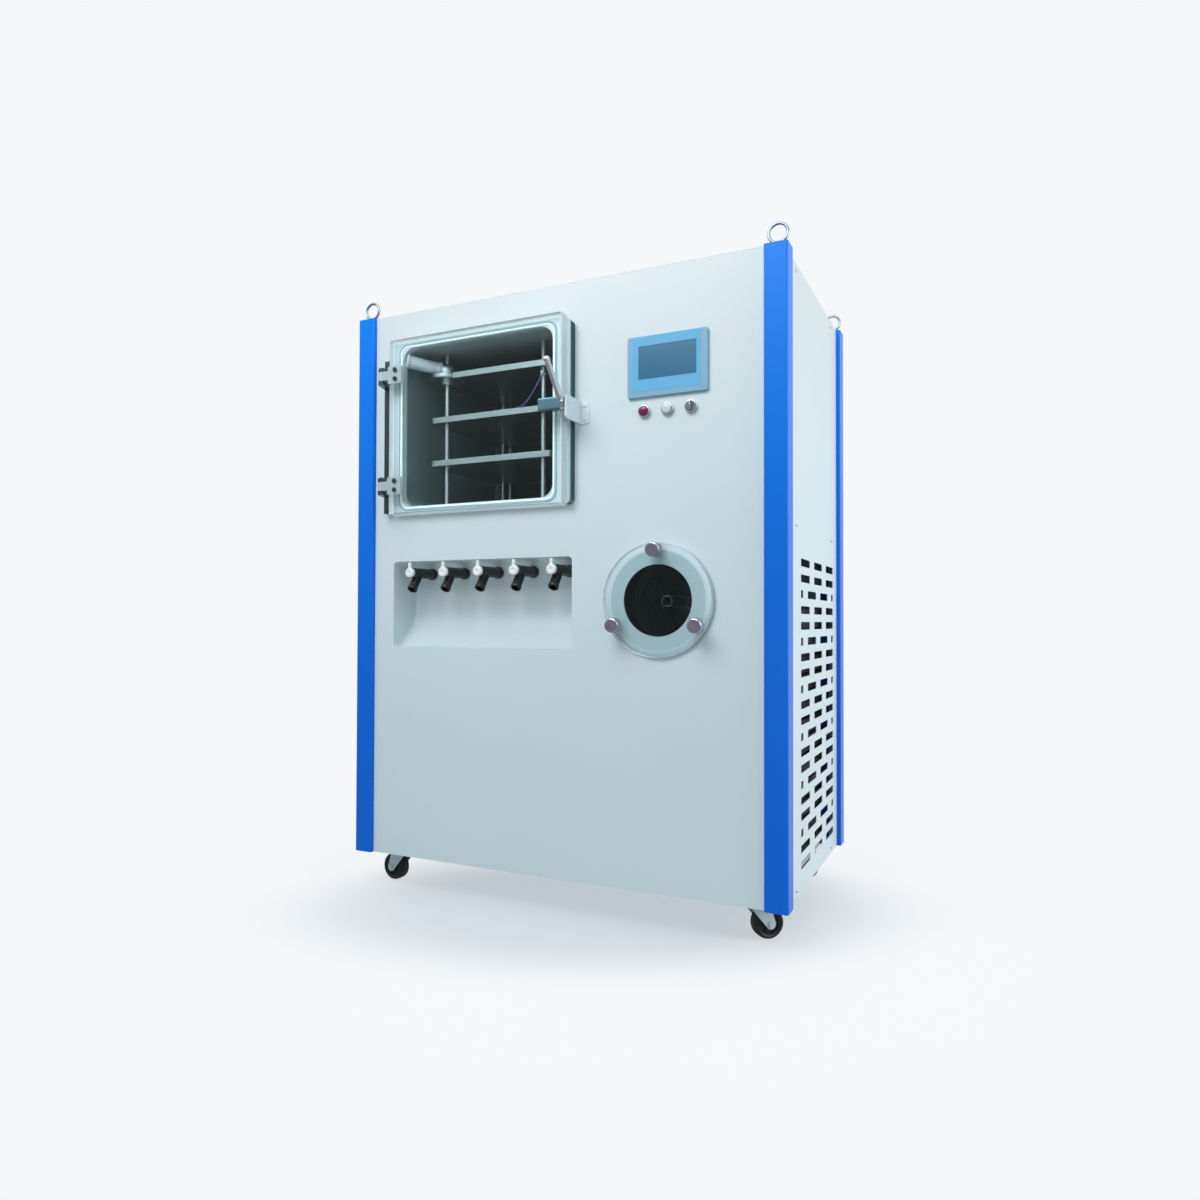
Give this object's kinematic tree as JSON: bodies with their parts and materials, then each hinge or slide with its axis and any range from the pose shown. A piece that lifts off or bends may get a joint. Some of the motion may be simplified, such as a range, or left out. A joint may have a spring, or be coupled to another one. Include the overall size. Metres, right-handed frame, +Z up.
{
  "type": "freeze dryer",
  "caption": "Floor-standing pilot freeze dryer on casters, with a clear-door tray chamber, a manifold with rubber valves, a glazed cold trap and a touch panel.",
  "frame": {"origin": "on the floor, below the middle of the overall box of the cabinet with its lever and pump port", "axes": "+Z up, +X to the right as seen by the user, +Y from the door to the back"},
  "size_m": [1.215, 0.9148, 1.6505],
  "materials": {
    "white_sheet": "satin white powder coat",
    "blue_post": "bright blue powder coat",
    "zinc_sheet": "zinc plated steel",
    "stainless": "brushed stainless steel",
    "bright_steel": "polished metal",
    "clear_acrylic": "clear cast acrylic",
    "silicone": "translucent white silicone",
    "black_rubber": "moulded black rubber",
    "white_plastic": "glossy white plastic",
    "black_plastic": "black plastic",
    "black_tyre": "black moulded tread",
    "panel_blue": "light blue moulded bezel",
    "red_cap": "red translucent cap",
    "green_cap": "pale green translucent cap",
    "grey_cap": "grey selector",
    "purple_lead": "thin purple cable sheath",
    "black_enamel": "black enamel",
    "finned_aluminium": "bare aluminium fins"
  },
  "bodies": {
    "cabinet": {"base_pan": "zinc_sheet", "front_panel": "white_sheet", "left_side_panel": "white_sheet", "right_side_panel": "white_sheet", "rear_panel": "white_sheet", "top_panel": "white_sheet", "corner_posts": "blue_post", "lifting_eyes": "bright_steel", "panel_screws": "bright_steel", "equipment_frame": "zinc_sheet", "caster_plates": "zinc_sheet", "manifold_recess": "white_sheet", "manifold_header": "stainless", "valve_bodies": "black_rubber", "chamber_shell": "stainless", "door_gasket": "silicone", "shelves": "stainless", "shelf_rods": "stainless", "oil_risers": "stainless", "probe_lead": "purple_lead", "probe_fittings": "bright_steel", "trap_vessel": "stainless", "trap_coil": "stainless", "trap_window": "clear_acrylic", "vapour_duct": "stainless", "vacuum_pipe": "stainless", "compressor": "black_enamel", "radiator": "finned_aluminium", "fan_shroud": "zinc_sheet", "oil_bath": "stainless", "electrical_box": "zinc_sheet", "touch_panel": "panel_blue", "switch_bodies": "bright_steel", "hinge_bracket": "stainless", "latch_strike": "white_sheet", "cable_gland": "black_plastic"},
    "door": {"door_plate": "clear_acrylic", "door_hinge_leaves": "stainless", "latch_block": "stainless"},
    "latch_lever": {"latch_lever": "bright_steel"},
    "fan": {"fan_rotor": "black_plastic"},
    "red_button": {"red_button": "red_cap"},
    "green_button": {"green_button": "green_cap"},
    "key_switch": {"key_switch": "grey_cap"},
    "valve_knob_1": {"valve_knob_1": "white_plastic"},
    "valve_knob_2": {"valve_knob_2": "white_plastic"},
    "valve_knob_3": {"valve_knob_3": "white_plastic"},
    "valve_knob_4": {"valve_knob_4": "white_plastic"},
    "valve_knob_5": {"valve_knob_5": "white_plastic"},
    "window_knob_1": {"window_knob_1": "bright_steel"},
    "window_knob_2": {"window_knob_2": "bright_steel"},
    "window_knob_3": {"window_knob_3": "bright_steel"},
    "caster_fork_front_left": {"caster_fork_front_left": "zinc_sheet"},
    "caster_wheel_front_left": {"caster_wheel_front_left": "black_tyre"},
    "caster_fork_front_right": {"caster_fork_front_right": "zinc_sheet"},
    "caster_wheel_front_right": {"caster_wheel_front_right": "black_tyre"},
    "caster_fork_rear_left": {"caster_fork_rear_left": "zinc_sheet"},
    "caster_wheel_rear_left": {"caster_wheel_rear_left": "black_tyre"},
    "caster_fork_rear_right": {"caster_fork_rear_right": "zinc_sheet"},
    "caster_wheel_rear_right": {"caster_wheel_rear_right": "black_tyre"}
  },
  "joints": [
    {"name": "door_hinge", "type": "hinge", "parent": "cabinet", "child": "door", "pos_m": [-0.485, -0.35341, 1.256], "axis": [0, 0, -1], "range_deg": [0, 135]},
    {"name": "latch_turn", "type": "hinge", "parent": "door", "child": "latch_lever", "pos_m": [0.0713, -0.36741, 1.272], "axis": [1, 0, 0], "range_deg": [0, 80]},
    {"name": "valve_turn_1", "type": "hinge", "parent": "cabinet", "child": "valve_knob_1", "pos_m": [-0.4305, -0.28962, 0.874], "axis": [0, 1, 0], "range_deg": [0, 90]},
    {"name": "valve_turn_2", "type": "hinge", "parent": "cabinet", "child": "valve_knob_2", "pos_m": [-0.3205, -0.28962, 0.874], "axis": [0, 1, 0], "range_deg": [0, 90]},
    {"name": "valve_turn_3", "type": "hinge", "parent": "cabinet", "child": "valve_knob_3", "pos_m": [-0.2105, -0.28962, 0.874], "axis": [0, 1, 0], "range_deg": [0, 90]},
    {"name": "valve_turn_4", "type": "hinge", "parent": "cabinet", "child": "valve_knob_4", "pos_m": [-0.1005, -0.28962, 0.874], "axis": [0, 1, 0], "range_deg": [0, 90]},
    {"name": "valve_turn_5", "type": "hinge", "parent": "cabinet", "child": "valve_knob_5", "pos_m": [0.0095, -0.28962, 0.874], "axis": [0, 1, 0], "range_deg": [0, 90]},
    {"name": "window_nut_1", "type": "hinge", "parent": "cabinet", "child": "window_knob_1", "pos_m": [0.3, -0.32192, 0.911], "axis": [0, 1, 0], "continuous": true},
    {"name": "window_nut_2", "type": "hinge", "parent": "cabinet", "child": "window_knob_2", "pos_m": [0.19694, -0.32192, 0.7325], "axis": [0, 1, 0], "continuous": true},
    {"name": "window_nut_3", "type": "hinge", "parent": "cabinet", "child": "window_knob_3", "pos_m": [0.40306, -0.32192, 0.7325], "axis": [0, 1, 0], "continuous": true},
    {"name": "fan_spin", "type": "hinge", "parent": "cabinet", "child": "fan", "pos_m": [0.474, 0.09939, 0.455], "axis": [1, 0, 0], "continuous": true},
    {"name": "red_button_press", "type": "slide", "parent": "cabinet", "child": "red_button", "axis": [0, 1, 0], "range_m": [0, 0.003], "stiffness_N_per_m": 400, "springref_m": -0.001},
    {"name": "green_button_press", "type": "slide", "parent": "cabinet", "child": "green_button", "axis": [0, 1, 0], "range_m": [0, 0.003], "stiffness_N_per_m": 400, "springref_m": -0.001},
    {"name": "key_turn", "type": "hinge", "parent": "cabinet", "child": "key_switch", "pos_m": [0.3795, -0.29362, 1.2475], "axis": [0, 1, 0], "range_deg": [0, 90]},
    {"name": "caster_swivel_front_left", "type": "hinge", "parent": "cabinet", "child": "caster_fork_front_left", "pos_m": [-0.5125, -0.21061, 0.085], "axis": [0, 0, 1], "continuous": true},
    {"name": "caster_roll_front_left", "type": "hinge", "parent": "caster_fork_front_left", "child": "caster_wheel_front_left", "pos_m": [-0.53825, -0.207, 0.0375], "axis": [-0.1392, -0.9903, 0], "continuous": true},
    {"name": "caster_swivel_front_right", "type": "hinge", "parent": "cabinet", "child": "caster_fork_front_right", "pos_m": [0.5125, -0.21061, 0.085], "axis": [0, 0, 1], "continuous": true},
    {"name": "caster_roll_front_right", "type": "hinge", "parent": "caster_fork_front_right", "child": "caster_wheel_front_right", "pos_m": [0.53182, -0.19322, 0.0375], "axis": [-0.6691, 0.7431, 0], "continuous": true},
    {"name": "caster_swivel_rear_left", "type": "hinge", "parent": "cabinet", "child": "caster_fork_rear_left", "pos_m": [-0.5125, 0.32938, 0.085], "axis": [0, 0, 1], "continuous": true},
    {"name": "caster_roll_rear_left", "type": "hinge", "parent": "caster_fork_rear_left", "child": "caster_wheel_rear_left", "pos_m": [-0.5255, 0.3519, 0.0375], "axis": [-0.866, -0.5, 0], "continuous": true},
    {"name": "caster_swivel_rear_right", "type": "hinge", "parent": "cabinet", "child": "caster_fork_rear_right", "pos_m": [0.5125, 0.32938, 0.085], "axis": [0, 0, 1], "continuous": true},
    {"name": "caster_roll_rear_right", "type": "hinge", "parent": "caster_fork_rear_right", "child": "caster_wheel_rear_right", "pos_m": [0.51923, 0.3545, 0.0375], "axis": [-0.9659, 0.2588, 0], "continuous": true}
  ]
}
